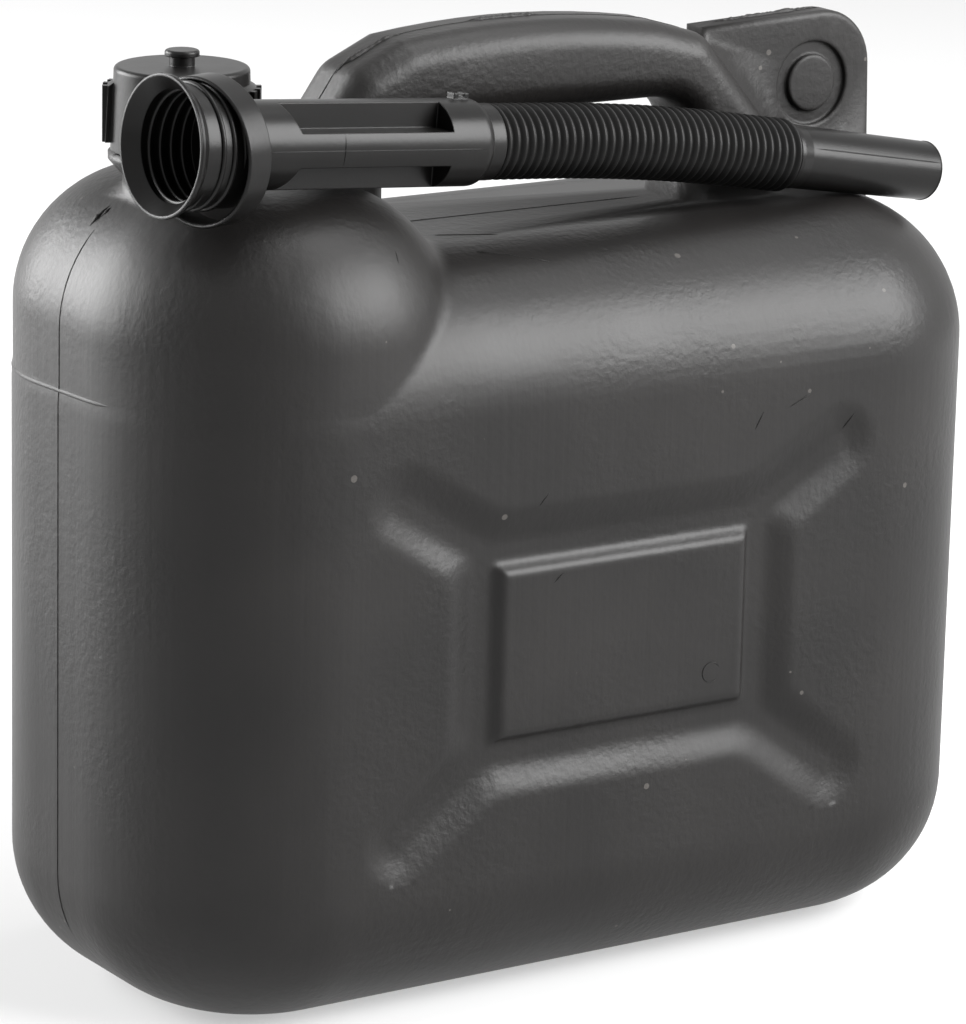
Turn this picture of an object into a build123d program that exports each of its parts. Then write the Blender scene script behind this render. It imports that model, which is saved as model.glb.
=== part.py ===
"""A five-litre blow-moulded fuel can with its screw cap, seal and stowed pouring spout."""

import os
from math import atan2, cos, degrees, radians, sin, tan

from build123d import *

# Can shell. The origin is the middle of the base, +X runs towards the lug, -Y is the front.
can_length = 252.0
can_width = 119.0
can_wall = 2.0
corner_radius = 48.0
shoulder_radius = 36.0
base_radius = 35.0
saddle_height = 188.5
tower_height = 205.0
tower_length = 94.0
tower_inner_corner_radius = 44.0
tower_shoulder_radius = 34.0
tower_foot_height = 60.0
tower_step_width = 0.3
crease_radius = 7.0

# Stiffening channel on the front and back faces.
channel_width = 15.0
channel_depth = 3.0
channel_floor_round = 2.2
channel_rim_round = 1.8
channel_length = 85.0
channel_middle_height = 92.75
channel_tall = 54.5
arm_reach = 22.0
upper_arm_rise = 14.0
lower_arm_drop = 16.5

# Neck on the left dome, with a collar under the cap.
neck_x = -92.4
neck_radius = 12.6
neck_bore_radius = 10.6
neck_top_height = 228.2
collar_radius = 17.7
collar_foot_radius = 14.2
collar_top_height = 211.8
collar_rim_height = 1.6
collar_flare_height = 4.0

# Handle bar over the saddle.
handle_width = 25.0
handle_wall = 2.4
handle_bar_height = 234.6
handle_bar_depth = 19.4
handle_crown_x = 4.5
handle_crown_rise = 3.0
handle_bar_left_x = -35.0
handle_bar_left_rise = 0.6
handle_bar_right_x = 41.0
handle_left_x = -63.5
handle_left_bend_x = -48.5
handle_left_bend_drop = 5.6
handle_left_knee_drop = 26.6
handle_right_bend_x = 55.5
handle_right_bend_drop = 4.0
handle_right_knee_x = 76.0
handle_right_knee_drop = 27.6
handle_right_x = 86.0
handle_foot_height = 170.0
handle_bend_radius = 9.0
handle_round = 7.4
handle_inner_round = 4.4
hand_hole_left_x = -40.0
hand_hole_right_x = 54.5
hand_hole_foot_x = 45.0
hand_hole_corner = 11.0

# Flat lug at the right end, with a ring groove round a boss on each face.
lug_thickness = 9.0
lug_left_x = 58.0
lug_right_x = 113.0
lug_lean = 2.2
lug_left_height = 231.4
lug_top_height = 233.8
lug_corner = 15.0
lug_edge = 1.6
lug_ring_x = 92.7
lug_ring_height = 214.5
lug_ring_radius = 10.9
lug_boss_radius = 7.4
lug_ring_depth = 1.4
lug_ring_edge = 0.6

# Seal, standing just over the neck's rim, and the screw cap over it.
seal_gap = 0.2
seal_thickness = 1.7
seal_clearance = 0.4
cap_roof = 2.5
cap_bore_radius = 14.3
cap_top_radius = 16.3
cap_bottom_radius = 17.1
cap_collar_gap = 0.6
cap_edge = 1.1
stud_radius = 3.1
stud_neck = 2.4
stud_head_radius = 4.2
stud_head_height = 1.5
stud_head_edge = 0.7
grip_bottom_radius = 18.5
grip_top_radius = 17.8
grip_slope = 2.4
grip_span = 52.0
grip_height = 13.6
grip_lift = 1.8
grip_middle_angle = 134.0
rib_count = 4
rib_pitch_angle = 13.0
rib_width = 1.7
rib_reach = 0.9

# Pouring spout, stowed along the front of the handle. Distances run from its mouth.
mouth_x = -118.6
mouth_y = -35.4
mouth_height = 221.2
spout_yaw = 4.04
spout_pitch = 4.85
outlet_pitch = 10.3
spout_wall = 1.3
mouth_radius = 16.9
mouth_rim = 1.2
mouth_flare = 2.4
mouth_lip = 0.6
sleeve_radius = 14.7
sleeve_length = 18.0
shoulder_length = 3.0
base_outer_radius = 10.7
base_length = 91.2
base_round = 3.0
spigot_radius = 9.4
spigot_length = 3.4
band_half_height = 4.1
fin_half_width = 2.8
pocket_start = 33.3
pocket_end = 77.7
pocket_slant = 24.0
latch_distance = 85.4
latch_length = 4.4
latch_width = 3.0
latch_height = 1.4
latch_slot = 1.8
latch_web = 0.4

# Ribbed hose between the spout's base and its outlet.
hose_length = 96.1
hose_radius = 9.35
hose_root_radius = 8.45
hose_ribs = 39
hose_crest_share = 0.36
hose_flank_share = 0.2

# Outlet tube.
outlet_length = 49.5
outlet_radius = 8.1
outlet_tip_radius = 7.6
outlet_collar_length = 1.2
outlet_cone_length = 3.0

# Loose ring round the spout's sleeve.
ring_radius = 17.9
ring_wall = 1.1
ring_width = 7.4
ring_distance = 13.0
ring_yaw = 15.0
ring_edge = 0.4
ring_drop = 1.2

overrun = 1.0

half_length = can_length / 2
half_width = can_width / 2
os.makedirs("parts", exist_ok=True)


def rounded_block(right_x, foot_height, top_height, side_inset, right_corner, top_round):
    """A block with round upright corners and a rounded top, from the can's left end to right_x."""
    left_x = side_inset - half_length
    with BuildPart() as block:
        with BuildSketch(Plane.XY.offset(foot_height)) as outline:
            with Locations(((left_x + right_x) / 2, 0)):
                Rectangle(right_x - left_x, can_width - 2 * side_inset)
            fillet(outline.vertices().group_by(Axis.X)[0], corner_radius - side_inset)
            fillet(outline.vertices().group_by(Axis.X)[-1], right_corner - side_inset)
        extrude(amount=top_height - foot_height)
        fillet(block.edges().group_by(Axis.Z)[-1], top_round - side_inset)
    return block.part


def shell_form(inset):
    """The closed form of the shell, moved inwards by inset: a long block with a tower on the left."""
    long_block = rounded_block(
        half_length - inset, inset, saddle_height - inset, inset, corner_radius, shoulder_radius
    )
    step = inset + tower_step_width
    tower = rounded_block(
        tower_length - half_length - step,
        tower_foot_height,
        tower_height - inset,
        step,
        tower_inner_corner_radius,
        tower_shoulder_radius,
    )
    with BuildPart() as form:
        add(long_block)
        fillet(form.edges().group_by(Axis.Z)[0], base_radius - inset)
        add(tower)
        fillet(form.edges(Select.NEW), crease_radius + inset)
    return form.part


def channel_block(side, spread, depth):
    """The channel's form at the front (-1) or back (1): a frame with an arm at each corner."""
    width = channel_width + 2 * spread
    face = Plane(origin=(0, side * half_width, 0), x_dir=(-side, 0, 0), z_dir=(0, side, 0))
    with BuildPart() as channel:
        with BuildSketch(face):
            with Locations((0, channel_middle_height)):
                Rectangle(channel_length + width, channel_tall + width)
                Rectangle(channel_length - width, channel_tall - width, mode=Mode.SUBTRACT)
            for end in (-1, 1):
                for height, rise in (
                    (channel_middle_height + channel_tall / 2, upper_arm_rise),
                    (channel_middle_height - channel_tall / 2, -lower_arm_drop),
                ):
                    arm = Vector(end * arm_reach, rise)
                    with Locations(Vector(end * channel_length / 2, height) + arm / 2):
                        SlotCenterToCenter(
                            arm.length, width, rotation=degrees(atan2(rise, end * arm_reach))
                        )
        extrude(amount=-depth)
        floor = channel.faces().sort_by(Axis.Y)[0 if side > 0 else -1]
        fillet(floor.edges(), spread + channel_floor_round)
    return channel.part


def handle_form(inset, edge_round):
    """The handle without its hand hole, its faces moved inwards by inset."""
    with BuildPart() as handle:
        with BuildSketch(Plane.XZ):
            with BuildLine():
                crown = ThreePointArc(
                    (handle_bar_left_x, handle_bar_height + handle_bar_left_rise),
                    (handle_crown_x, handle_bar_height + handle_crown_rise),
                    (handle_bar_right_x, handle_bar_height),
                )
                FilletPolyline(
                    crown @ 1,
                    (handle_right_bend_x, handle_bar_height - handle_right_bend_drop),
                    (handle_right_knee_x, handle_bar_height - handle_right_knee_drop),
                    (handle_right_x, handle_foot_height),
                    (handle_left_x, handle_foot_height),
                    (handle_left_x, handle_bar_height - handle_left_knee_drop),
                    (handle_left_bend_x, handle_bar_height - handle_left_bend_drop),
                    crown @ 0,
                    radius=handle_bend_radius,
                )
            make_face()
            with BuildLine():
                FilletPolyline(
                    (hand_hole_left_x, handle_foot_height - overrun),
                    (hand_hole_left_x, handle_bar_height - handle_bar_depth),
                    (hand_hole_right_x, handle_bar_height - handle_bar_depth),
                    (hand_hole_foot_x, handle_foot_height - overrun),
                    radius=hand_hole_corner,
                )
                Line(
                    (hand_hole_foot_x, handle_foot_height - overrun),
                    (hand_hole_left_x, handle_foot_height - overrun),
                )
            make_face(mode=Mode.SUBTRACT)
            if inset:
                offset(amount=-inset, kind=Kind.INTERSECTION)
        extrude(amount=handle_width / 2 - inset, both=True)
        sides = handle.faces().filter_by(Axis.Y)
        fillet(sides.edges(), edge_round)
    return handle.part


def lug_form():
    """The flat lug, with the ring groove on both faces."""
    with BuildPart() as lug:
        with BuildSketch(Plane.XZ):
            with BuildLine():
                foot = handle_foot_height + can_wall
                lean_right_x = lug_right_x - lug_lean
                Polyline(
                    (lug_left_x, foot),
                    (lug_left_x, lug_left_height),
                    (lean_right_x, lug_top_height),
                    (lug_right_x, foot),
                    close=True,
                )
            make_face()
        extrude(amount=lug_thickness / 2, both=True)
        corner = lug.edges().filter_by(Axis.Y).sort_by(lambda e: (e @ 0).X + (e @ 0).Z)[-1]
        fillet(corner, lug_corner)
        fillet(lug.faces().filter_by(Axis.Y).edges(), lug_edge)
        for side in (-1, 1):
            face = Plane(
                origin=(lug_ring_x, side * lug_thickness / 2, lug_ring_height),
                x_dir=(1, 0, 0),
                z_dir=(0, side, 0),
            )
            with BuildSketch(face):
                Circle(lug_ring_radius)
                Circle(lug_boss_radius, mode=Mode.SUBTRACT)
            extrude(amount=-lug_ring_depth, mode=Mode.SUBTRACT)
        rims = lug.edges().filter_by(GeomType.CIRCLE).filter_by(
            lambda e: abs(abs(e.center().Y) - lug_thickness / 2) < lug_ring_edge / 2
        )
        rims = rims.filter_by(lambda e: e.radius < lug_ring_radius + lug_ring_edge)
        fillet(rims, lug_ring_edge)
    return lug.part


# The shell: the closed form with channels, handle, lug and neck, and the space inside it.
inner_shell = shell_form(can_wall)
inner_handle = handle_form(handle_wall, handle_inner_round)
inner_channels = [
    channel_block(side, can_wall, channel_depth + can_wall) for side in (-1, 1)
]
with BuildPart() as cavity:
    add(inner_shell)
    add(inner_channels, mode=Mode.SUBTRACT)
    add(inner_handle)
    with BuildSketch(Plane.XY.offset(tower_height - tower_shoulder_radius)):
        with Locations((neck_x, 0)):
            Circle(neck_bore_radius)
    extrude(amount=neck_top_height + overrun - tower_height + tower_shoulder_radius)

outer_shell = shell_form(0)
outer_handle = handle_form(0, handle_round)
outer_channels = [channel_block(side, 0, channel_depth) for side in (-1, 1)]
lug = lug_form()
with BuildPart() as can_body:
    add(outer_shell)
    add(outer_channels, mode=Mode.SUBTRACT)
    rims = can_body.edges().filter_by(
        lambda edge: abs(abs(edge.center().Y) - half_width) < channel_rim_round / 4
        and abs(edge.center().X) < half_length - corner_radius
        and edge.center().Z < saddle_height - shoulder_radius
        and edge.center().Z > base_radius
    )
    fillet(rims, channel_rim_round)
    add(outer_handle)
    add(lug)
    with BuildSketch(Plane.XZ.shift_origin((neck_x, 0, 0))):
        with BuildLine():
            neck_foot = tower_height - tower_shoulder_radius / 2
            rim_foot = collar_top_height - collar_rim_height
            Polyline(
                (0, neck_foot),
                (collar_foot_radius, neck_foot),
                (collar_foot_radius, rim_foot - collar_flare_height),
                (collar_radius, rim_foot),
                (collar_radius, collar_top_height),
                (neck_radius, collar_top_height),
                (neck_radius, neck_top_height),
                (0, neck_top_height),
                close=True,
            )
        make_face()
    revolve(axis=Axis((neck_x, 0, 0), (0, 0, 1)))
    add(cavity.part, mode=Mode.SUBTRACT)

can_body.part.label = "can_body"
export_step(can_body.part, "parts/can_body.step")


# The seal lies just over the neck's rim, inside the cap.
neck_axis = Axis((neck_x, 0, 0), (0, 0, 1))
seal_bottom = neck_top_height + seal_gap
with BuildPart() as cap_seal:
    with BuildSketch(Plane.XY.offset(seal_bottom)):
        with Locations((neck_x, 0)):
            Circle(cap_bore_radius - seal_clearance)
    extrude(amount=seal_thickness)

cap_seal.part.label = "cap_seal"
export_step(cap_seal.part, "parts/cap_seal.step")

# The screw cap: a tapered skirt and roof, two squeeze grips with upright ribs, and a stud on top.
roof_height = seal_bottom + seal_thickness
cap_top = roof_height + cap_roof
cap_bottom = collar_top_height + cap_collar_gap
grip_bottom = cap_bottom + grip_lift
stud_top = cap_top + stud_neck
with BuildPart() as cap:
    with BuildSketch(Plane.XZ):
        with BuildLine():
            Polyline(
                (neck_x, cap_bottom),
                (neck_x + cap_bottom_radius, cap_bottom),
                (neck_x + cap_top_radius, cap_top),
                (neck_x, cap_top),
                close=True,
            )
        make_face()
    revolve(axis=neck_axis)
    fillet(cap.faces().sort_by(Axis.Z)[-1].edges(), cap_edge)
    for turn in (0, 180):
        middle = grip_middle_angle + turn
        start = Plane.XZ.rotated((0, 0, middle - grip_span / 2))
        side_view = Plane(origin=(neck_x, 0, 0), x_dir=start.x_dir, z_dir=start.z_dir)
        with BuildSketch(side_view):
            with BuildLine():
                Polyline(
                    (cap_bore_radius, grip_bottom),
                    (grip_bottom_radius, grip_bottom),
                    (grip_top_radius, grip_bottom + grip_height),
                    (cap_bore_radius, grip_bottom + grip_height + grip_slope),
                    close=True,
                )
            make_face()
        revolve(axis=neck_axis, revolution_arc=grip_span)
        with BuildSketch(Plane.XY.offset(grip_bottom)):
            with Locations((neck_x, 0)):
                with PolarLocations(
                    (grip_bottom_radius + grip_top_radius) / 2,
                    rib_count,
                    middle - rib_pitch_angle * (rib_count - 1) / 2,
                    rib_pitch_angle * (rib_count - 1),
                    endpoint=True,
                ):
                    Rectangle(2 * rib_reach, rib_width)
        extrude(amount=grip_height)
    with BuildSketch(Plane.XY.offset(cap_bottom)):
        with Locations((neck_x, 0)):
            Circle(cap_bore_radius)
    extrude(amount=roof_height - cap_bottom, mode=Mode.SUBTRACT)
    with BuildSketch(Plane.XY.offset(cap_top)):
        with Locations((neck_x, 0)):
            Circle(stud_radius)
    extrude(amount=stud_neck)
    with BuildSketch(Plane.XY.offset(stud_top)):
        with Locations((neck_x, 0)):
            Circle(stud_head_radius)
    extrude(amount=stud_head_height)
    fillet(cap.faces().sort_by(Axis.Z)[-1].edges(), stud_head_edge)

cap.part.label = "cap"
export_step(cap.part, "parts/cap.step")

# The spout's own frame: sketches lie across it, and distances run along it from its mouth.
across = Vector(-sin(radians(spout_yaw)), cos(radians(spout_yaw)), 0)
mouth = Vector(mouth_x, mouth_y, mouth_height)
bend = radians(outlet_pitch - spout_pitch)
hose_straight = 2 * hose_radius
bend_length = hose_length - 2 * hose_straight
base_end = base_length + spigot_length


def heading(pitch):
    """The direction along the spout where it slopes down by pitch degrees."""
    level = Vector(cos(radians(spout_yaw)), sin(radians(spout_yaw)), 0)
    return level * cos(radians(pitch)) - Vector(0, 0, 1) * sin(radians(pitch))


def spout_plane(distance):
    """The plane across the rigid part of the spout, at a distance from its mouth."""
    return Plane(mouth + heading(spout_pitch) * distance, across, heading(spout_pitch))


def hose_plane(distance):
    """The plane across the hose, which runs straight, bends gently and runs straight again."""
    turned = min(max(distance - hose_straight, 0), bend_length) / bend_length
    pitch = spout_pitch + turned * (outlet_pitch - spout_pitch)
    chord = 2 * bend_length / bend * sin(turned * bend / 2)
    centre = (
        mouth
        + heading(spout_pitch) * (base_end + min(distance, hose_straight))
        + heading((spout_pitch + pitch) / 2) * chord
        + heading(outlet_pitch) * max(distance - hose_straight - bend_length, 0)
    )
    return Plane(centre, across, heading(pitch))


def along(plane):
    """The upright plane through the spout's axis, with distance as x and height as y."""
    return Plane(plane.origin, plane.z_dir, plane.x_dir * -1)


def spout_axis(plane):
    """The axis through a plane across the spout."""
    return Axis(plane.origin, plane.z_dir)


# The spout's rigid part: flared mouth, sleeve, and a base with four long pockets.
with BuildPart() as spout_body:
    with BuildSketch(along(spout_plane(0))):
        with BuildLine():
            Polyline(
                (0, 0),
                (0, mouth_radius),
                (mouth_rim, mouth_radius),
                (mouth_rim + mouth_flare, sleeve_radius),
                (sleeve_length, sleeve_radius),
                (sleeve_length + shoulder_length, base_outer_radius),
                (base_length, base_outer_radius),
                (base_length, 0),
                close=True,
            )
        make_face()
    revolve(axis=spout_axis(spout_plane(0)))
    fillet(spout_body.faces().sort_by(spout_axis(spout_plane(0)))[-1].edges(), base_round)
    with BuildSketch(spout_plane(0)):
        Circle(spigot_radius)
    extrude(amount=base_end)
    slant = (base_outer_radius + overrun - band_half_height) * tan(radians(pocket_slant))
    for side in (-1, 1):
        with BuildSketch(along(spout_plane(0)).offset(side * fin_half_width)):
            for rise in (-1, 1):
                with BuildLine():
                    Polyline(
                        (pocket_start, rise * band_half_height),
                        (pocket_start - slant, rise * (base_outer_radius + overrun)),
                        (pocket_end, rise * (base_outer_radius + overrun)),
                        (pocket_end, rise * band_half_height),
                        close=True,
                    )
                make_face()
        extrude(amount=side * base_outer_radius, mode=Mode.SUBTRACT)
    with BuildSketch(spout_plane(0)):
        Circle(sleeve_radius - spout_wall)
    extrude(amount=sleeve_length, mode=Mode.SUBTRACT)
    with BuildSketch(along(spout_plane(0))):
        with BuildLine():
            Polyline(
                (-overrun, 0),
                (-overrun, mouth_radius - mouth_lip),
                (0, mouth_radius - mouth_lip),
                (mouth_rim + mouth_flare, sleeve_radius - spout_wall),
                (mouth_rim + mouth_flare, 0),
                close=True,
            )
        make_face()
    revolve(axis=spout_axis(spout_plane(0)), mode=Mode.SUBTRACT)
    with BuildSketch(spout_plane(sleeve_length)):
        Rectangle(2 * (base_outer_radius - spout_wall), 2 * (band_half_height - spout_wall))
        Rectangle(2 * (fin_half_width - spout_wall), 2 * (base_outer_radius - spout_wall))
        Circle(base_outer_radius - spout_wall, mode=Mode.INTERSECT)
    extrude(amount=pocket_end - sleeve_length, mode=Mode.SUBTRACT)
    with BuildSketch(spout_plane(pocket_end + spout_wall)):
        Circle(hose_root_radius - spout_wall)
    extrude(amount=base_end - pocket_end - spout_wall, mode=Mode.SUBTRACT)
    with BuildSketch(spout_plane(pocket_end)):
        Rectangle(2 * (hose_root_radius - spout_wall), 2 * (band_half_height - spout_wall))
        Circle(hose_root_radius - spout_wall, mode=Mode.INTERSECT)
    extrude(amount=spout_wall, mode=Mode.SUBTRACT)
    with BuildSketch(along(spout_plane(0))):
        latch_top = base_outer_radius + latch_height
        latch_foot = base_outer_radius - spout_wall / 2
        with Locations((latch_distance, (latch_top + latch_foot) / 2)):
            Rectangle(latch_length, latch_top - latch_foot)
        with Locations((latch_distance, latch_top)):
            Rectangle(latch_slot, 2 * (latch_height - latch_web), mode=Mode.SUBTRACT)
    extrude(amount=latch_width / 2, both=True)

spout_body.part.label = "spout_body"
export_step(spout_body.part, "parts/spout_body.step")

# The ribbed hose: each rib rises, runs flat and falls through four circles.
rib_length = hose_length / hose_ribs
with BuildPart() as spout_hose:
    for rib in range(hose_ribs):
        foot = rib * rib_length
        crest = foot + hose_flank_share * rib_length
        crest_end = crest + hose_crest_share * rib_length
        fall_end = crest_end + hose_flank_share * rib_length
        for distance, radius in (
            (foot, hose_root_radius),
            (crest, hose_radius),
            (crest_end, hose_radius),
            (fall_end, hose_root_radius),
        ):
            with BuildSketch(hose_plane(distance)):
                Circle(radius)
    with BuildSketch(hose_plane(hose_length)):
        Circle(hose_root_radius)
    loft(ruled=True)
    for rib in range(hose_ribs + 1):
        with BuildSketch(hose_plane(rib * rib_length)):
            Circle(hose_root_radius - spout_wall)
    loft(ruled=True, mode=Mode.SUBTRACT)

spout_hose.part.label = "spout_hose"
export_step(spout_hose.part, "parts/spout_hose.step")

# The outlet: a short cone off the hose and a slightly tapered tube.
with BuildPart() as spout_outlet:
    for inset, mode in ((0, Mode.ADD), (spout_wall, Mode.SUBTRACT)):
        with BuildSketch(along(hose_plane(hose_length))):
            with BuildLine():
                Polyline(
                    (0, 0),
                    (0, hose_root_radius - inset),
                    (outlet_collar_length, hose_root_radius - inset),
                    (outlet_collar_length + outlet_cone_length, outlet_radius - inset),
                    (outlet_length, outlet_tip_radius - inset),
                    (outlet_length, 0),
                    close=True,
                )
            make_face()
        revolve(axis=spout_axis(hose_plane(hose_length)), mode=mode)

spout_outlet.part.label = "spout_outlet"
export_step(spout_outlet.part, "parts/spout_outlet.step")

# The loose ring stands askew round the sleeve.
ring_centre = spout_plane(ring_distance).origin - Vector(0, 0, ring_drop)
ring_across = Vector(-sin(radians(ring_yaw)), cos(radians(ring_yaw)), 0)
ring_heading = Vector(cos(radians(ring_yaw)), sin(radians(ring_yaw)), 0)
ring_plane = Plane(ring_centre, ring_across, ring_heading)
with BuildPart() as spout_ring:
    with BuildSketch(ring_plane):
        Circle(ring_radius)
        Circle(ring_radius - ring_wall, mode=Mode.SUBTRACT)
    extrude(amount=ring_width / 2, both=True)
    chamfer(spout_ring.edges().filter_by(GeomType.CIRCLE), ring_edge)

spout_ring.part.label = "spout_ring"
export_step(spout_ring.part, "parts/spout_ring.step")
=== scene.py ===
from math import ceil, cos, pi, radians, sin

import bmesh
import bpy
from mathutils import Matrix, Vector


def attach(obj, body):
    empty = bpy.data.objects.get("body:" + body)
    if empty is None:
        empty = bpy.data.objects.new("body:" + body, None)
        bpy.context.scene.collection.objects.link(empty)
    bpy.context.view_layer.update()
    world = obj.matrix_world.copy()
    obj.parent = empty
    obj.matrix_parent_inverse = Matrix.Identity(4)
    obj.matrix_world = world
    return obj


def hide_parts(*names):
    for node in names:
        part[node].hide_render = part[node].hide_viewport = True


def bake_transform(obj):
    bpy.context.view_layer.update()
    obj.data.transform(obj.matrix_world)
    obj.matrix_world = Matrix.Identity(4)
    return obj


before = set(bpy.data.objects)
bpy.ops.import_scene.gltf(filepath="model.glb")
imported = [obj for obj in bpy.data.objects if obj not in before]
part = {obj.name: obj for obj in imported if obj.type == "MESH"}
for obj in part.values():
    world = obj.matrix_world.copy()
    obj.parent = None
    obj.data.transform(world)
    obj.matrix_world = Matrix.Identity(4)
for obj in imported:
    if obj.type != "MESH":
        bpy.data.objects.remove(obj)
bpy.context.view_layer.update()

# The shell is blow-moulded from black polythene with a little recycled stuff in it, so
# the skin is a warm near-black satin. It keeps the orange peel of the mould, upright
# streaks from the die, dust-like specks and a few hair scratches.
shell = part["can_body"]
shell_black = (0.0052, 0.0047, 0.0045)
shell_grey = (0.0096, 0.0087, 0.0083)
dust_grey = (0.052, 0.048, 0.044)
peel_height = 0.00022
streak_height = 0.00009
dent_height = 0.0004
shell_edge = 0.0012


def wire(nodes, start, start_socket, end, end_socket):
    """Links one node's socket to another's."""
    nodes.id_data.links.new(start.outputs[start_socket], end.inputs[end_socket])


def new_plastic(name, roughness, specular):
    """A material with its shader and the object's own coordinates, ready for its pattern."""
    material = bpy.data.materials.new(name)
    material.use_nodes = True
    nodes = material.node_tree.nodes
    shader = nodes["Principled BSDF"]
    shader.inputs["Roughness"].default_value = roughness
    shader.inputs["Specular IOR Level"].default_value = specular
    place = nodes.new("ShaderNodeTexCoord")
    return material, nodes, shader, place


def speckle(nodes, place, scale, detail=3.0, stretch=(1, 1, 1)):
    """A noise pattern on the object, stretched where the plastic flowed."""
    mapping = nodes.new("ShaderNodeMapping")
    mapping.inputs["Scale"].default_value = stretch
    texture = nodes.new("ShaderNodeTexNoise")
    texture.inputs["Scale"].default_value = scale
    texture.inputs["Detail"].default_value = detail
    wire(nodes, place, "Object", mapping, "Vector")
    wire(nodes, mapping, "Vector", texture, "Vector")
    return texture


def spread(nodes, source, socket, low, high, to_low=0.0, to_high=1.0):
    """The part of a pattern between low and high, spread over a new range."""
    node = nodes.new("ShaderNodeMapRange")
    node.inputs["From Min"].default_value = low
    node.inputs["From Max"].default_value = high
    node.inputs["To Min"].default_value = to_low
    node.inputs["To Max"].default_value = to_high
    wire(nodes, source, socket, node, "Value")
    return node


def relief(nodes, source, socket, height, strength, under=None):
    """A relief of the given height, laid over the one under it."""
    bump = nodes.new("ShaderNodeBump")
    bump.inputs["Strength"].default_value = strength
    bump.inputs["Distance"].default_value = height
    wire(nodes, source, socket, bump, "Height")
    if under:
        wire(nodes, under, "Normal", bump, "Normal")
    return bump


def mixed_colour(nodes, share, first, second):
    """A colour between two: each is a colour, or a pair of a node and its socket."""
    mix = nodes.new("ShaderNodeMix")
    mix.data_type = "RGBA"
    wire(nodes, *share, mix, "Factor")
    for letter, colour in (("A", first), ("B", second)):
        if len(colour) == 2:
            wire(nodes, *colour, mix, letter)
        else:
            mix.inputs[letter].default_value = (*colour, 1)
    return mix, "Result"


def sum_of(nodes, operation, *terms):
    """A Math node. Each term is a number or a pair of a node and its socket."""
    node = nodes.new("ShaderNodeMath")
    node.operation = operation
    for index, term in enumerate(terms):
        if isinstance(term, tuple):
            wire(nodes, term[0], term[1], node, index)
        else:
            node.inputs[index].default_value = term
    return node, "Value"


def soft_edges(nodes, radius):
    """Mould edges are never sharp, so the light runs round them."""
    bevel = nodes.new("ShaderNodeBevel")
    bevel.samples = 6
    bevel.inputs["Radius"].default_value = radius
    return bevel


def shell_plastic():
    """The shell's skin: clouded black with dust, haze, streaks, orange peel and shallow dents."""
    material, nodes, shader, place = new_plastic("black polythene shell", 0.42, 0.28)
    clouds = spread(nodes, speckle(nodes, place, 22, 4), "Fac", 0.35, 0.7)
    tone = mixed_colour(nodes, (clouds, "Result"), shell_black, shell_grey)
    dust = nodes.new("ShaderNodeTexVoronoi")
    dust.inputs["Scale"].default_value = 140
    wire(nodes, place, "Object", dust, "Vector")
    size = spread(nodes, speckle(nodes, place, 60, 1), "Fac", 0.56, 0.8, 0.0, 0.16)
    near = sum_of(nodes, "LESS_THAN", (dust, "Distance"), (size, "Result"))
    wire(nodes, *mixed_colour(nodes, near, tone, dust_grey), shader, "Base Color")
    haze = spread(nodes, speckle(nodes, place, 9, 5), "Fac", 0.3, 0.7, 0.39, 0.5)
    wire(nodes, haze, "Result", shader, "Roughness")
    streaks = speckle(nodes, place, 420, 2, (1, 1, 0.02))
    lines = relief(nodes, streaks, "Fac", streak_height, 0.7, soft_edges(nodes, shell_edge))
    rough_patch = spread(nodes, speckle(nodes, place, 26, 3), "Fac", 0.42, 0.62, 0.25, 1.0)
    peel = speckle(nodes, place, 560, 3)
    peel_here = sum_of(nodes, "MULTIPLY", (peel, "Fac"), (rough_patch, "Result"))
    peeled = relief(nodes, *peel_here, peel_height, 0.8, lines)
    dents = relief(nodes, speckle(nodes, place, 34, 2), "Fac", dent_height, 0.5, peeled)
    wire(nodes, dents, "Normal", shader, "Normal")
    return material


shell_material = shell_plastic()

# The mould's stiffening channel, a frame with four arms, is pressed into both broad faces.
# Its outer walls slope and run out softly, and its inner edge stays crisp.
channel_middle = 0.09275
channel_half = Vector((0.0425, 0.02725))
channel_reach = 0.0075
channel_depth = 0.0027
arm_reach = 0.022
upper_arm_rise = 0.0140
lower_arm_drop = 0.0165
arm_half_width = channel_reach * 1.2
arm_end_fade = 0.3
arm_blend = 0.003
run_out = 0.0024
outer_slope = 0.0098
inner_slope = 0.0042
arm_ends = [
    (Vector((side * channel_half.x, rise)), Vector((side * arm_reach, run)))
    for side in (-1, 1)
    for rise, run in ((channel_half.y, upper_arm_rise), (-channel_half.y, -lower_arm_drop))
]
face_middle_y = 0.0595
face_slack = 0.0045
patch_low = Vector((-0.0760, 0.0378))
patch_high = Vector((0.0760, 0.1490))
patch_step = 0.00092
patch_rim = 0.0008
same_place = 1e-7


def in_box(across, up, half_x, half_z):
    """How deep a place lies inside a rectangle round the channel's middle, or below 0 outside."""
    return min(half_x - abs(across), half_z - abs(up))


def soft_most(first, second, blend):
    """The larger of two numbers, with a soft change from one to the other."""
    share = max(blend - abs(first - second), 0) / blend
    return max(first, second) + share * share * blend / 4


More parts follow.
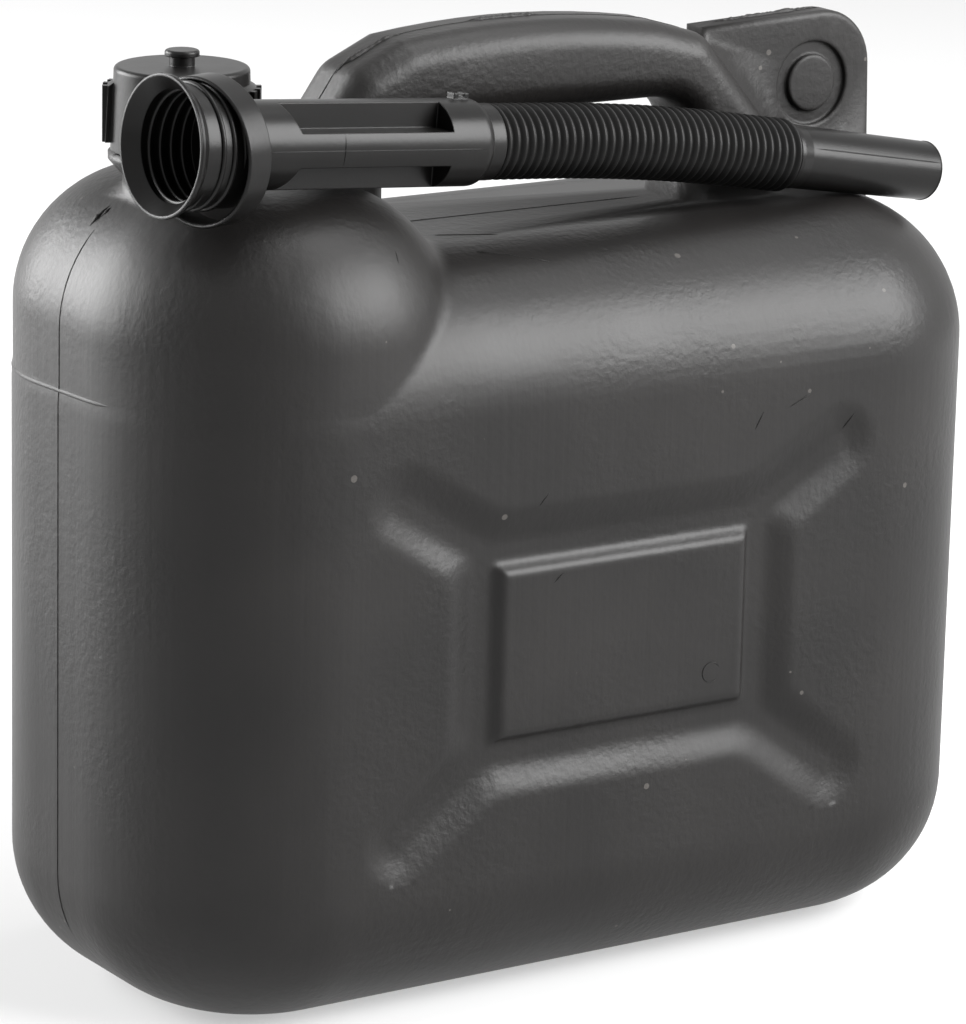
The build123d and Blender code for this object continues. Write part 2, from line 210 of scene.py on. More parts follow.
def channel_at(across, height):
    """The channel's depth at a place on the broad face."""
    up = height - channel_middle
    outer = in_box(across, up, channel_half.x + channel_reach, channel_half.y + channel_reach)
    inner = -in_box(across, up, channel_half.x - channel_reach, channel_half.y - channel_reach)
    fade = 1.0
    for start, run in arm_ends:
        place = Vector((across, up)) - start
        share = min(max(place.dot(run) / run.length_squared, 0), 1)
        arm = arm_half_width - (place - run * share).length
        if arm > outer:
            fade = 1.0 - arm_end_fade * share * share
        outer = soft_most(outer, arm, arm_blend)
    if outer <= -run_out or inner <= 0:
        return 0.0
    slope = min(max((outer + run_out) / outer_slope, 0), 1)
    outside = slope * slope * (3 - 2 * slope)
    rise = min(inner / inner_slope, 1)
    inside = min(rise * rise * 2.4, 1 - (1 - rise) * (1 - rise) * 0.9) if rise < 1 else 1.0
    return channel_depth * fade * min(outside, inside)


def cut_square(shape, side):
    """Cuts the outline of the patch into one broad face, and returns the faces within it."""
    for place, normal in (
        ((patch_low.x, 0, 0), (1, 0, 0)),
        ((patch_high.x, 0, 0), (1, 0, 0)),
        ((0, 0, patch_low.y), (0, 0, 1)),
        ((0, 0, patch_high.y), (0, 0, 1)),
    ):
        front = face_middle_y - face_slack
        near = [f for f in shape.faces if f.calc_center_median().y * side > front]
        parts = set(near)
        for face in near:
            parts.update(face.verts)
            parts.update(face.edges)
        bmesh.ops.bisect_plane(
            shape, geom=list(parts), plane_co=place, plane_no=normal, dist=same_place
        )

    def within(face):
        point = face.calc_center_median()
        return patch_low.x < point.x < patch_high.x and patch_low.y < point.z < patch_high.y

    seeds = [
        f for f in shape.faces
        if f.normal.y * side > 0.99
        and abs(f.calc_center_median().y * side - face_middle_y) < 1e-5
        and within(f)
    ]
    found = set(seeds)
    waiting = list(seeds)
    while waiting:
        for edge in waiting.pop().edges:
            for face in edge.link_faces:
                if face not in found and within(face):
                    found.add(face)
                    waiting.append(face)
    return list(found)


def press_channel(shape, side):
    """Lays a finely meshed patch with the channel into one broad face."""
    faces = cut_square(shape, side)
    bmesh.ops.delete(shape, geom=faces, context="FACES")
    rim = [
        e for e in shape.edges
        if e.is_boundary and all(abs(v.co.y * side - face_middle_y) < 1e-4 for v in e.verts)
    ]
    size = patch_high - patch_low - Vector((patch_rim, patch_rim)) * 2
    count_x = round(size.x / patch_step)
    count_z = round(size.y / patch_step)
    rows = []
    for row in range(count_z + 1):
        height = patch_low.y + patch_rim + size.y * row / count_z
        line = []
        for column in range(count_x + 1):
            across = patch_low.x + patch_rim + size.x * column / count_x
            depth = channel_at(across, height)
            line.append(shape.verts.new((across, side * (face_middle_y - depth), height)))
        rows.append(line)
    patch = []
    for lower, upper in zip(rows, rows[1:]):
        for n in range(count_x):
            corners = [lower[n], lower[n + 1], upper[n + 1], upper[n]]
            patch.append(shape.faces.new(corners if side < 0 else corners[::-1]))
    edge_loop = [e for face in patch for e in face.edges if e.is_boundary]
    filled = bmesh.ops.triangle_fill(
        shape, use_beauty=True, edges=rim + list(set(edge_loop)), normal=(0, side, 0)
    )
    for face in filled["geom"]:
        if isinstance(face, bmesh.types.BMFace):
            face.normal_update()
            if face.normal.y * side < 0:
                face.normal_flip()


def shell_skin():
    """The shell's own solid, with the channels' soft form pressed into it."""
    shape = bmesh.new()
    shape.from_mesh(shell.data)
    bmesh.ops.remove_doubles(shape, verts=shape.verts, dist=same_place)
    for side in (-1, 1):
        press_channel(shape, side)
    mesh = bpy.data.meshes.new("can_shell")
    shape.to_mesh(mesh)
    shape.free()
    mesh.materials.clear()
    mesh.materials.append(shell_material)
    for face in mesh.polygons:
        face.use_smooth = True
        face.material_index = 0
    mesh.set_sharp_from_angle(angle=radians(32))
    skin = bpy.data.objects.new("can_shell", mesh)
    bpy.context.scene.collection.objects.link(skin)
    return skin


skin = shell_skin()
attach(skin, "can")
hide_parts("can_body")
bpy.context.view_layer.update()

# The two halves of the mould meet in the upright plane through the handle. The pinched
# plastic leaves a thin raised line there, which is trimmed but never quite clean.
seam_radius = 0.00017
seam_step = 0.0012


def set_inputs(modifier, tree, values):
    """Sets a tree's named inputs on its modifier, each by its socket's identifier."""
    for item in tree.interface.items_tree:
        if item.item_type == "SOCKET" and item.in_out == "INPUT" and item.name in values:
            modifier[item.identifier] = values[item.name]


def made_by(tree, mesh, values, name):
    """The mesh that a node tree makes from a path, as a piece of its own."""
    path = bpy.data.objects.new(name + "_path", mesh)
    bpy.context.scene.collection.objects.link(path)
    modifier = path.modifiers.new("form", "NODES")
    modifier.node_group = tree
    set_inputs(modifier, tree, values)
    view = bpy.context.evaluated_depsgraph_get()
    result = bpy.data.meshes.new_from_object(path.evaluated_get(view), depsgraph=view)
    result.name = name
    bpy.data.objects.remove(path)
    piece = bpy.data.objects.new(name, result)
    bpy.context.scene.collection.objects.link(piece)
    return piece


def new_tree(name, inputs):
    """A node tree with named inputs, and its input and output nodes."""
    tree = bpy.data.node_groups.new(name, "GeometryNodeTree")
    tree.is_modifier = True
    face = tree.interface
    face.new_socket("Geometry", in_out="INPUT", socket_type="NodeSocketGeometry")
    for label, kind, value in inputs:
        socket = face.new_socket(label, in_out="INPUT", socket_type="NodeSocket" + kind)
        if value is not None:
            socket.default_value = value
    face.new_socket("Geometry", in_out="OUTPUT", socket_type="NodeSocketGeometry")
    return tree, tree.nodes.new("NodeGroupInput"), tree.nodes.new("NodeGroupOutput")


def finish_tree(nodes, last, socket, given, out):
    """Smooth shading, real geometry and the material, at the end of a tree."""
    smooth = nodes.new("GeometryNodeSetShadeSmooth")
    real = nodes.new("GeometryNodeRealizeInstances")
    dress = nodes.new("GeometryNodeSetMaterial")
    wire(nodes, last, socket, smooth, "Geometry")
    wire(nodes, smooth, "Geometry", real, "Geometry")
    wire(nodes, real, "Geometry", dress, "Geometry")
    wire(nodes, given, "Material", dress, "Material")
    wire(nodes, dress, "Geometry", out, "Geometry")


def bead_tree():
    """A round bead along a path, thin at both ends and as rough as it is told to be."""
    tree, given, out = new_tree(
        "moulded bead",
        (
            ("Bead Radius", "Float", 0.0003),
            ("Step", "Float", 0.001),
            ("Fade", "Float", 0.004),
            ("Roughness", "Float", 0.0),
            ("Grain", "Float", 400.0),
            ("Sides", "Int", 8),
            ("Material", "Material", None),
        ),
    )
    nodes = tree.nodes
    curve = nodes.new("GeometryNodeMeshToCurve")
    wire(nodes, given, "Geometry", curve, "Mesh")
    even = nodes.new("GeometryNodeResampleCurve")
    even.mode = "LENGTH"
    wire(nodes, curve, "Curve", even, "Curve")
    wire(nodes, given, "Step", even, "Length")
    along = nodes.new("GeometryNodeSplineParameter")
    whole = nodes.new("GeometryNodeSplineLength")
    left = sum_of(nodes, "SUBTRACT", (whole, "Length"), (along, "Length"))
    nearest = sum_of(nodes, "MINIMUM", (along, "Length"), left)
    rise = sum_of(nodes, "DIVIDE", nearest, (given, "Fade"))
    capped = sum_of(nodes, "MINIMUM", rise, 1.0)
    shape = sum_of(nodes, "MAXIMUM", capped, 0.04)
    grain = nodes.new("ShaderNodeTexNoise")
    grain.inputs["Detail"].default_value = 3
    place = nodes.new("GeometryNodeInputPosition")
    wire(nodes, place, "Position", grain, "Vector")
    wire(nodes, given, "Grain", grain, "Scale")
    middle = sum_of(nodes, "SUBTRACT", (grain, "Fac"), 0.5)
    swing = sum_of(nodes, "MULTIPLY", middle, (given, "Roughness"))
    rough = sum_of(nodes, "ADD", swing, 1.0)
    held = sum_of(nodes, "MAXIMUM", rough, 0.12)
    full = sum_of(nodes, "MULTIPLY", shape, held)
    radius = sum_of(nodes, "MULTIPLY", full, (given, "Bead Radius"))
    section = nodes.new("GeometryNodeCurvePrimitiveCircle")
    wire(nodes, given, "Sides", section, "Resolution")
    section.inputs["Radius"].default_value = 1
    skin = nodes.new("GeometryNodeCurveToMesh")
    skin.inputs["Fill Caps"].default_value = True
    wire(nodes, even, "Curve", skin, "Curve")
    wire(nodes, section, "Curve", skin, "Profile Curve")
    wire(nodes, *radius, skin, "Scale")
    finish_tree(nodes, skin, "Mesh", given, out)
    return tree


moulded_bead = bead_tree()


def path_mesh(name, lines):
    """Edge-only mesh of one or more paths."""
    points = []
    edges = []
    for line in lines:
        first = len(points)
        points += [tuple(point) for point in line]
        edges += [(first + n, first + n + 1) for n in range(len(line) - 1)]
    mesh = bpy.data.meshes.new(name)
    mesh.from_pydata(points, edges, [])
    return mesh


def beads(name, lines, radius, material, body, slot, **sizes):
    """Beads along lines, as one piece that rides on a body."""
    values = {"Bead Radius": radius, "Material": material}
    values.update(sizes)
    piece = made_by(moulded_bead, path_mesh(name, lines), values, name)
    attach(piece, body)
    return piece


def touch(start, end):
    """Where a straight probe from start to end first meets the shell, or None."""
    probe = Vector(end) - Vector(start)
    hit, place, _, _ = skin.ray_cast(Vector(start), probe.normalized(), distance=probe.length)
    return place if hit else None


def lines_on_shell(probes, jump=0.004):
    """The probes' touching points, as lines that break where the surface jumps."""
    lines = []
    last = None
    for start, end in probes:
        place = touch(start, end)
        if place is None:
            last = None
            continue
        if last is None or (place - last).length > jump:
            lines.append([])
        lines[-1].append(place)
        last = place
    return [line for line in lines if len(line) > 2]


def steps(low, high, pitch):
    """Even values from low to high, about a pitch apart."""
    count = max(2, ceil(abs(high - low) / pitch))
    return [low + (high - low) * n / count for n in range(count + 1)]


probe_top = 0.26
probe_end = 0.1
under_handle = 0.2115
beyond_end = 0.2


def above_probe(across, depth, top=probe_top):
    """A probe straight down onto the shell."""
    return ((across, depth, top), (across, depth, probe_end))


def end_probe(height, side):
    """A level probe in the parting plane, from beyond one end of the can."""
    return ((side * beyond_end, 0, height), (0, 0, height))


seam_lines = []
for probes in (
    [above_probe(x, 0, under_handle) for x in steps(-0.0375, 0.0430, seam_step)],
    [end_probe(z, -1) for z in steps(0.018, 0.196, seam_step)],
    [end_probe(z, 1) for z in steps(0.170, 0.018, seam_step)],
    [above_probe(x, 0) for x in steps(-0.060, 0.056, seam_step)],
):
    seam_lines += lines_on_shell(probes)
mould_seam = beads(
    "mould_seam", seam_lines, seam_radius, shell_material, "can", "shell",
    Roughness=0.9, Fade=0.006, Step=0.0009,
)

# Where the mould halves pinch the hose of plastic, rough flash is torn off and leaves a
# ragged line: along the handle's top, on the lug's upper edge and on the left shoulder.
flash_step = 0.0006
scar_step = 0.0005


def torn_lines(rows, pitch):
    """Lines from above along the can, each from one place to another at a depth."""
    lines = []
    for depth, start, end in rows:
        lines += lines_on_shell([above_probe(x, depth) for x in steps(start, end, pitch)])
    return lines


flash_rows = (
    (-0.0006, -0.050, -0.030),
    (0.0004, -0.012, 0.012),
    (0.0008, 0.064, 0.098),
)
handle_flash = beads(
    "handle_flash", torn_lines(flash_rows, flash_step), 0.00062, shell_material, "can", "shell",
    Roughness=2.6, Fade=0.005, Step=0.0005, Grain=900.0,
)
scar_rows = ((0.0030, -0.1160, -0.1062), (0.0018, -0.1140, -0.1090))
shoulder_scar = beads(
    "shoulder_scar", torn_lines(scar_rows, scar_step), 0.00055, shell_material, "can", "shell",
    Roughness=2.8, Fade=0.003, Step=0.0005, Grain=800.0,
)

# Half way up the left end the mould's tower block meets its lower block, and the plastic
# follows the joint in a low blunt ridge that runs out towards the front.
ridge_centre_x = -0.078
ridge_height = 0.1564
ridge_rise_a_degree = 0.0000235
ridge_sunk_share = 0.011
probe_radius = 0.3


def ridge_probe(turn):
    """A level probe towards the left end, turned about an upright line inside it."""
    height = ridge_height + ridge_rise_a_degree * turn
    outwards = Vector((-cos(radians(turn)), -sin(radians(turn)), 0)) * probe_radius
    centre = Vector((ridge_centre_x, 0, height))
    return (centre + outwards, centre)


ridge_lines = [
    [place.lerp(Vector((ridge_centre_x, 0, place.z)), ridge_sunk_share) for place in line]
    for line in lines_on_shell([ridge_probe(turn) for turn in steps(-62, 40, 1.5)])
]
end_ridge = beads(
    "end_ridge", ridge_lines, 0.00075, shell_material, "can", "shell",
    Fade=0.018, Step=0.0015, Sides=12,
)

# Handling and the mould leave small marks: hair scratches on the front and the saddle, a
# nick on the tower and another in the panel, and a faint round mark in its lower corner.
def front_probe(across, height):
    """A level probe onto the front face."""
    return ((across, -beyond_end, height), (across, 0, height))


def scratch(start, end, count=16):
    """Probes from above or the front along a straight scratch between two of them."""
    rows = [n / (count - 1) for n in range(count)]
    return [tuple(Vector(a).lerp(Vector(b), share) for a, b in zip(start, end)) for share in rows]


mark_radius = 0.0026
mark_middle = (0.0266, 0.0797)
round_mark = [
    front_probe(
        mark_middle[0] + mark_radius * cos(radians(turn)),
        mark_middle[1] + mark_radius * sin(radians(turn)),
    )
    for turn in range(20, 330, 12)
]
mark_lines = []
for probes in (
    scratch(front_probe(0.0375, 0.1405), front_probe(0.0402, 0.1452)),
    scratch(front_probe(0.0478, 0.1452), front_probe(0.0545, 0.1480)),
    scratch(front_probe(0.0660, 0.1372), front_probe(0.0690, 0.1415)),
    scratch(front_probe(-0.0265, 0.1290), front_probe(-0.0235, 0.1322)),
    scratch(above_probe(-0.0310, -0.0170), above_probe(-0.0160, -0.0235), 24),
    scratch(above_probe(-0.0290, -0.0330), above_probe(-0.0120, -0.0400), 24),
    scratch(front_probe(-0.0622, 0.1905), front_probe(-0.0616, 0.1935)),
    scratch(front_probe(-0.0215, 0.1092), front_probe(-0.0185, 0.1118)),
    round_mark,
):
    mark_lines += lines_on_shell(probes)
handling_marks = beads(
    "handling_marks", mark_lines, 0.00016, shell_material, "can", "shell",
    Roughness=0.8, Fade=0.0015, Step=0.0007,
)

# The cap is injection moulded in a harder black plastic, a little glossier than the shell.
# Its two grips and the stud on top come out of the same mould.
cap_black = (0.0030, 0.0028, 0.0027)
flow_tone = 1.45
moulded_peel_height = 0.00004
moulded_peel_scale = 900
moulded_shine = 0.2


def moulded_plastic(name, colour, roughness, edge):
    """Injection-moulded black plastic: even, with a faint flow haze and soft edges."""
    material, nodes, shader, place = new_plastic(name, roughness, moulded_shine)
    flow = spread(nodes, speckle(nodes, place, 60, 3), "Fac", 0.35, 0.7)
    pale = [flow_tone * share for share in colour]
    tone = mixed_colour(nodes, (flow, "Result"), colour, pale)
    wire(nodes, *tone, shader, "Base Color")
    cloud = speckle(nodes, place, 35, 3)
    haze = spread(nodes, cloud, "Fac", 0.3, 0.7, roughness - 0.04, roughness + 0.05)
    wire(nodes, haze, "Result", shader, "Roughness")
    peel = speckle(nodes, place, moulded_peel_scale, 2)
    peeled = relief(nodes, peel, "Fac", moulded_peel_height, 0.5, soft_edges(nodes, edge))
    wire(nodes, peeled, "Normal", shader, "Normal")
    return material


cap_material = moulded_plastic("black cap plastic", cap_black, 0.33, 0.0004)
part["cap"].material_slots[0].material = cap_material

# Neck and cap carry one thread of 4 mm pitch. The neck's runs outside under the cap, and
# the cap's runs inside its skirt, half a turn further on, so that both pass at any turn.
neck_x = -0.0924
thread_pitch = 0.004


def helix(centre, forward, upward, radius, start, length, pitch, first=0.0, per_turn=48):
    """The points of a right-handed screw line about an axis."""
    side = forward.cross(upward)
    count = ceil(length / pitch * per_turn)
    points = []
    for n in range(count + 1):
        run = length * n / count
        turn = 2 * pi * (run / pitch) + first
        around = upward * (radius * cos(turn)) + side * (radius * sin(turn))
        points.append(centre + forward * (start + run) + around)
    return points


neck_axis = (Vector((neck_x, 0, 0)), Vector((0, 0, 1)), Vector((1, 0, 0)))
neck_line = helix(*neck_axis, 0.01262, 0.2142, 0.0115, thread_pitch)
neck_thread = beads(
    "neck_thread", [neck_line], 0.00062, shell_material, "can", "shell",
    Fade=0.006, Step=0.0009,
)
cap_line = helix(*neck_axis, 0.0143, 0.2146, 0.0095, thread_pitch, pi)
cap_thread = beads(
    "cap_thread", [cap_line], 0.00055, cap_material, "cap", "cap",
    Fade=0.006, Step=0.0009,
)

# The seal inside the cap is a soft disc of grey-black rubber. It is punched from sheet and
# lies loose under the cap's roof.
rubber_grey = (0.02, 0.02, 0.021)
seal_material = moulded_plastic("seal rubber", rubber_grey, 0.7, 0.0003)
part["cap_seal"].material_slots[0].material = seal_material

# The spout's base, outlet and loose ring are injection moulded in the same black plastic,
# and the ring slips over the sleeve before the hose goes on.
spout_black = (0.0030, 0.0028, 0.0027)
spout_material = moulded_plastic("black spout plastic", spout_black, 0.31, 0.0005)
for name in ("spout_body", "spout_outlet", "spout_ring"):
    part[name].material_slots[0].material = spout_material

# The spout lies along the can on a line that runs straight through its base and bends
# gently down along the ribbed hose.
mouth = Vector((-0.1186, -0.0354, 0.2212))
spout_yaw = radians(4.04)
base_pitch = radians(4.85)
outlet_pitch = radians(10.3)
hose_start = 0.0946
hose_length = 0.0961
hose_straight = 0.0187
bend_length = hose_length - 2 * hose_straight
sideways = Vector((-sin(spout_yaw), cos(spout_yaw), 0))


def heading(pitch):
    """The spout's direction where it points down by a pitch."""
    level = Vector((cos(spout_yaw), sin(spout_yaw), 0))
    return level * cos(pitch) - Vector((0, 0, sin(pitch)))


def spout_point(distance):
    """The place on the spout's axis, its direction and its upward normal at a distance."""
    on_hose = distance - hose_start
    turned = min(max(on_hose - hose_straight, 0), bend_length) / bend_length
    pitch = base_pitch + turned * (outlet_pitch - base_pitch)
    bend = outlet_pitch - base_pitch
    chord = 2 * bend_length / bend * sin(turned * bend / 2)
    place = mouth + heading(base_pitch) * min(distance, hose_start + hose_straight)
    place += heading((base_pitch + pitch) / 2) * chord
    place += heading(outlet_pitch) * max(on_hose - hose_straight - bend_length, 0)
    forward = heading(pitch)
    return place, forward, forward.cross(sideways)


# The mouth screws onto the neck when the can is poured, so a thread runs inside it, and
# stout rings stand round it outside. Its lip is turned out thin and rolled at the rim.
mouth_forward = heading(base_pitch)
mouth_up = mouth_forward.cross(sideways)


def ring_line(distance, radius, turn_from, turn_to):
    """An arc across the spout at a distance from its mouth."""
    middle = mouth + mouth_forward * distance
    points = []
    for turn in steps(turn_from, turn_to, 3.75):
        up = mouth_up * (radius * cos(radians(turn)))
        points.append(middle + up + sideways * (radius * sin(radians(turn))))
    return points


mouth_axis = (mouth, mouth_forward, mouth_up)
mouth_turn_points = 60
bore_line = helix(*mouth_axis, 0.01332, 0.0040, 0.0125, 0.0031, 0.6, mouth_turn_points)
bore_thread = beads(
    "mouth_thread", [bore_line], 0.00062, spout_material, "spout", "spout",
    Fade=0.01, Step=0.001, Sides=10,
)
outside_line = helix(*mouth_axis, 0.01472, 0.0052, 0.0088, 0.0030, 2.2, mouth_turn_points)
outside_thread = beads(
    "mouth_ridges", [outside_line], 0.00066, spout_material, "spout", "spout",
    Fade=0.006, Step=0.001, Sides=10,
)
lip_distance = 0.0006
lip_radius = 0.01662
lip_arcs = ((3, 118), (121, 244), (246, 359))
lip_lines = [ring_line(lip_distance, lip_radius, start, end) for start, end in lip_arcs]
rolled_lip = beads(
    "rolled_lip", lip_lines, 0.00042, spout_material, "spout", "spout",
    Fade=0.0012, Step=0.0012,
)

# A parting line runs along the spout's base and outlet, where their two mould halves met.
# A short cross line on the base marks where an insert of the mould ended.
base_seam_radius = 0.01070
tick_radius = 0.01072
tick_distance = 0.0455
spout_seam_step = 0.0015


def facing(up, turn):
    """A direction off the spout's axis. At turn 0 it faces the front and at 90 it faces up."""
    return up * sin(radians(turn)) - sideways * cos(radians(turn))


base_seam = [
    mouth + mouth_forward * distance - sideways * base_seam_radius
    for distance in steps(0.0225, 0.0880, spout_seam_step)
]
tick = [
    mouth + mouth_forward * tick_distance + facing(mouth_up, turn) * tick_radius
    for turn in steps(-21, 21, 3)
]
outlet_start = hose_start + hose_length
outlet_radius = 0.0081
outlet_taper = 0.0005
outlet_cuff = 0.0042
outlet_run = 0.0453
outlet_rim_distance = 0.0492
outlet_seam_turn = 24


def outlet_point(distance, turn):
    """A place on the outlet's skin, at a distance from its start."""
    place, _, up = spout_point(outlet_start + distance)
    radius = outlet_radius - outlet_taper * (distance - outlet_cuff) / outlet_run
    return place + facing(up, turn) * radius


outlet_seam = [
    outlet_point(distance, outlet_seam_turn)
    for distance in steps(0.0048, 0.0490, spout_seam_step)
]
outlet_rim = [outlet_point(outlet_rim_distance, turn) for turn in steps(-160, 190, 6)]
spout_seams = beads(
    "spout_seams", [base_seam, tick], 0.00016, spout_material, "spout", "spout",
    Fade=0.003, Roughness=0.5,
)
outlet_seams = beads(
    "outlet_seams", [outlet_seam, outlet_rim], 0.00017, spout_material, "outlet", "spout",
    Fade=0.003, Roughness=0.6,
)

# The ribbed hose is blown from softer plastic, so it is duller. Thin rounded ribs stand
# on it, and it plugs onto the base and the outlet.
hose_ribs = 39
hose_crest = 0.00935
hose_root = 0.00815
hose_bore = 0.0072
hose_step = 0.0012
hose_black = (0.0022, 0.0021, 0.0020)
hose_grey = (0.0040, 0.0038, 0.0037)
hose_peel_height = 0.00005


def hose_tree():
    """A tube along a path, its radius rising to a rounded rib at each pitch."""
    tree, given, out = new_tree(
        "ribbed hose",
        (
            ("Ribs", "Int", 39),
            ("Points per Rib", "Int", 12),
            ("Crest Radius", "Float", 0.009),
            ("Root Radius", "Float", 0.008),
            ("Bore Radius", "Float", 0.007),
            ("Sharpness", "Float", 1.6),
            ("Sides", "Int", 72),
            ("Material", "Material", None),
        ),
    )
    nodes = tree.nodes
    curve = nodes.new("GeometryNodeMeshToCurve")
    wire(nodes, given, "Geometry", curve, "Mesh")
    product = sum_of(nodes, "MULTIPLY", (given, "Ribs"), (given, "Points per Rib"))
    count = sum_of(nodes, "ADD", product, 1.0)
    even = nodes.new("GeometryNodeResampleCurve")
    even.mode = "COUNT"
    wire(nodes, curve, "Curve", even, "Curve")
    wire(nodes, *count, even, "Count")
    along = nodes.new("GeometryNodeSplineParameter")
    ribs = sum_of(nodes, "MULTIPLY", (along, "Factor"), (given, "Ribs"))
    wave = sum_of(nodes, "MULTIPLY", ribs, pi)
    swing = sum_of(nodes, "ABSOLUTE", sum_of(nodes, "SINE", wave))
    crest = sum_of(nodes, "POWER", swing, (given, "Sharpness"))
    depth = sum_of(nodes, "SUBTRACT", (given, "Crest Radius"), (given, "Root Radius"))
    lift = sum_of(nodes, "MULTIPLY", crest, depth)
    radius = sum_of(nodes, "ADD", lift, (given, "Root Radius"))
    section = nodes.new("GeometryNodeCurvePrimitiveCircle")
    section.inputs["Radius"].default_value = 1
    wire(nodes, given, "Sides", section, "Resolution")
    both = nodes.new("GeometryNodeJoinGeometry")
    for size, inside in ((radius, False), ((given, "Bore Radius"), True)):
        skin = nodes.new("GeometryNodeCurveToMesh")
        wire(nodes, even, "Curve", skin, "Curve")
        wire(nodes, section, "Curve", skin, "Profile Curve")
        wire(nodes, *size, skin, "Scale")
        if inside:
            turned = nodes.new("GeometryNodeFlipFaces")
            wire(nodes, skin, "Mesh", turned, "Mesh")
            skin = turned
        wire(nodes, skin, "Mesh", both, "Geometry")
    finish_tree(nodes, both, "Geometry", given, out)
    return tree


def hose_plastic():
    """Soft blown plastic: a dull black with a fine grain."""
    material, nodes, shader, place = new_plastic("black hose plastic", 0.46, 0.22)
    flow = spread(nodes, speckle(nodes, place, 90, 3), "Fac", 0.35, 0.7)
    tone = mixed_colour(nodes, (flow, "Result"), hose_black, hose_grey)
    wire(nodes, *tone, shader, "Base Color")
    grain = relief(nodes, speckle(nodes, place, 1300, 2), "Fac", hose_peel_height, 0.5)
    wire(nodes, grain, "Normal", shader, "Normal")
    return material


hose_material = hose_plastic()
hose_line = [
    spout_point(hose_start + distance)[0] for distance in steps(0, hose_length, hose_step)
]
hose = made_by(
    hose_tree(),
    path_mesh("hose", [hose_line]),
    {
        "Ribs": hose_ribs,
        "Crest Radius": hose_crest,
        "Root Radius": hose_root,
        "Bore Radius": hose_bore,
        "Material": hose_material,
    },
    "ribbed_hose",
)


def close_ends(piece):
    """Joins the wall's outer and inner skins at both ends."""
    shape = bmesh.new()
    shape.from_mesh(piece.data)
    rims = [edge for edge in shape.edges if edge.is_boundary]
    middle = sum((edge.verts[0].co for edge in rims), Vector()) / len(rims)
    across = (hose_line[-1] - hose_line[0]).normalized()
    for side in (-1, 1):
        ring = [e for e in rims if (e.verts[0].co - middle).dot(across) * side > 0]
        bmesh.ops.bridge_loops(shape, edges=ring)
    bmesh.ops.recalc_face_normals(shape, faces=shape.faces)
    shape.to_mesh(piece.data)
    shape.free()
    for face in piece.data.polygons:
        face.use_smooth = True


close_ends(hose)
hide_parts("spout_hose")
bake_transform(hose)


# The floor is a plain pale sheet that takes the can's shadow. Both it and the air round the
# can show white to the camera and in reflections.
paper_grey = (0.80, 0.80, 0.80)
floor_half = 6
floor_white_share = 0.45


def background_rays(nodes):
    """1 for the rays that show the background: camera, glossy and transmission rays."""
    seen = nodes.new("ShaderNodeLightPath")
    either = sum_of(nodes, "MAXIMUM", (seen, "Is Camera Ray"), (seen, "Is Transmission Ray"))
    return sum_of(nodes, "MAXIMUM", either, (seen, "Is Glossy Ray"))


def mix_shaders(nodes, share, first, second, output):
    """Mixes two shaders by a share, into a material's or the world's output."""
    mixed = nodes.new("ShaderNodeMixShader")
    wire(nodes, *share, mixed, "Fac")
    wire(nodes, first, 0, mixed, 1)
    wire(nodes, second, 0, mixed, 2)
    wire(nodes, mixed, 0, output, "Surface")


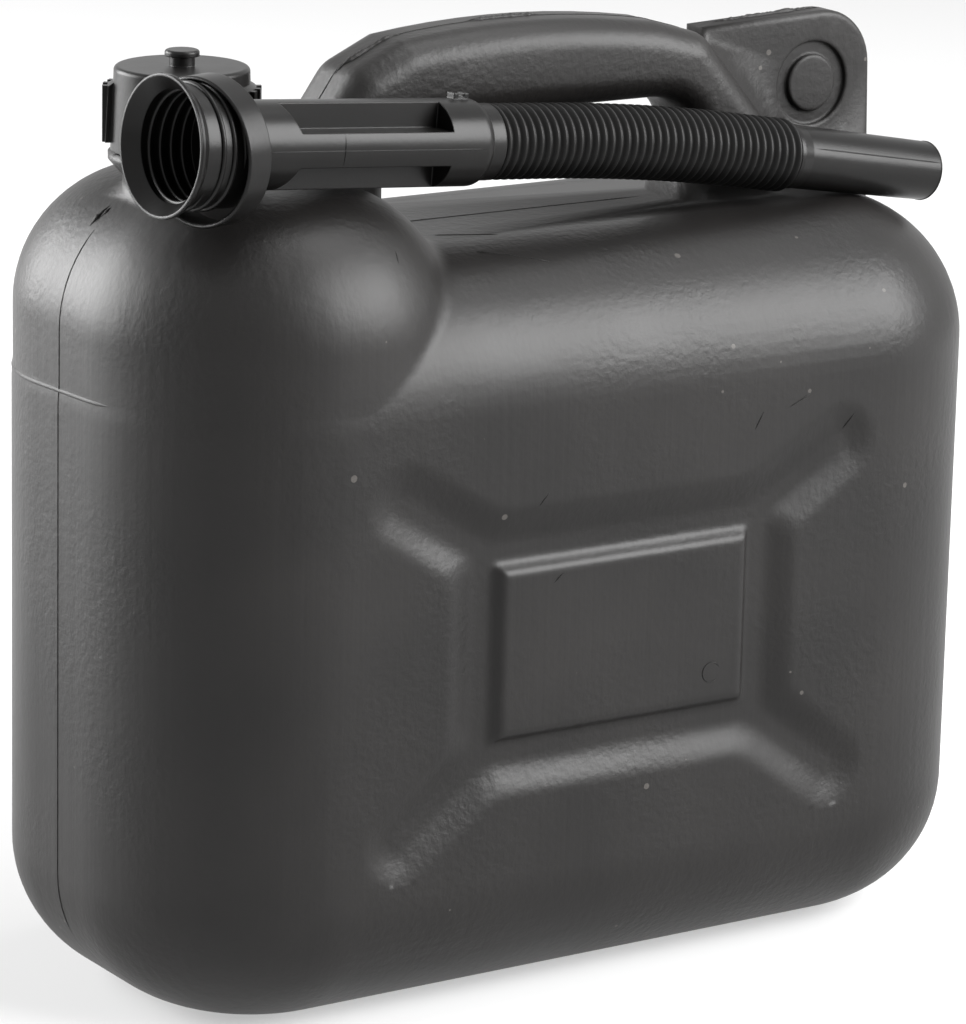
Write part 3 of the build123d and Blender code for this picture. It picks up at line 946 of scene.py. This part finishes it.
def floor():
    """The floor's sheet, there for the picture alone."""
    mesh = bpy.data.meshes.new("floor")
    corners = [(x * floor_half, y * floor_half, 0) for x, y in ((-1, -1), (1, -1), (1, 1), (-1, 1))]
    mesh.from_pydata(corners, [], [(0, 1, 2, 3)])
    ground = bpy.data.objects.new("floor", mesh)
    bpy.context.scene.collection.objects.link(ground)
    material = bpy.data.materials.new("pale floor")
    material.use_nodes = True
    nodes = material.node_tree.nodes
    shader = nodes["Principled BSDF"]
    shader.inputs["Base Color"].default_value = (*paper_grey, 1)
    shader.inputs["Roughness"].default_value = 0.9
    white_paper = nodes.new("ShaderNodeEmission")
    white_paper.inputs["Strength"].default_value = 1.0
    share = sum_of(nodes, "MULTIPLY", background_rays(nodes), floor_white_share)
    mix_shaders(nodes, share, shader, white_paper, nodes["Material Output"])
    mesh.materials.append(material)


floor()


# Soft boxes light the can: a large one from the front right, one low from the back left and
# a small one above.
can_middle = (0, 0, 0.1)


def lamp(name, place, size, power):
    """A soft box that faces the middle of the can."""
    light = bpy.data.lights.new(name, "AREA")
    light.shape = "RECTANGLE"
    light.size, light.size_y = size
    light.energy = power
    holder = bpy.data.objects.new(name, light)
    holder.location = place
    aim = Vector(can_middle) - Vector(place)
    holder.rotation_euler = aim.to_track_quat("-Z", "Y").to_euler()
    bpy.context.scene.collection.objects.link(holder)


lamp("right box", (1.2, -1.35, 1.1), (1.6, 1.4), 112)
lamp("left box", (-1.15, 1.3, 0.6), (1.5, 1.1), 80)
lamp("top box", (0.5, -0.1, 1.7), (0.9, 0.6), 12)

world = bpy.data.worlds.new("studio")
bpy.context.scene.world = world
world.use_nodes = True
air = world.node_tree.nodes
soft = air["Background"]
soft.inputs["Color"].default_value = (1, 1, 1, 1)
soft.inputs["Strength"].default_value = 0.06
white = air.new("ShaderNodeBackground")
white.inputs["Color"].default_value = (1, 1, 1, 1)
white.inputs["Strength"].default_value = 1.0
mix_shaders(air, background_rays(air), soft, white, air["World Output"])

# The camera stands to the front left, a little above the can, and leans slightly.
eye = Vector((-0.7049, -1.0575, 0.4455))
look_at = Vector((-0.00322, 0, 0.11094))
camera_lean = radians(1.3)
lens = bpy.data.cameras.new("camera")
lens.sensor_width = 36
lens.lens = 181.53
lens.clip_start = 0.05
camera = bpy.data.objects.new("camera", lens)
view_turn = (look_at - eye).to_track_quat("-Z", "Y").to_matrix().to_4x4()
lean = Matrix.Rotation(camera_lean, 4, "Z")
camera.matrix_world = Matrix.Translation(eye) @ view_turn @ lean
bpy.context.scene.collection.objects.link(camera)
bpy.context.scene.camera = camera

bpy.context.scene.view_settings.view_transform = "Standard"
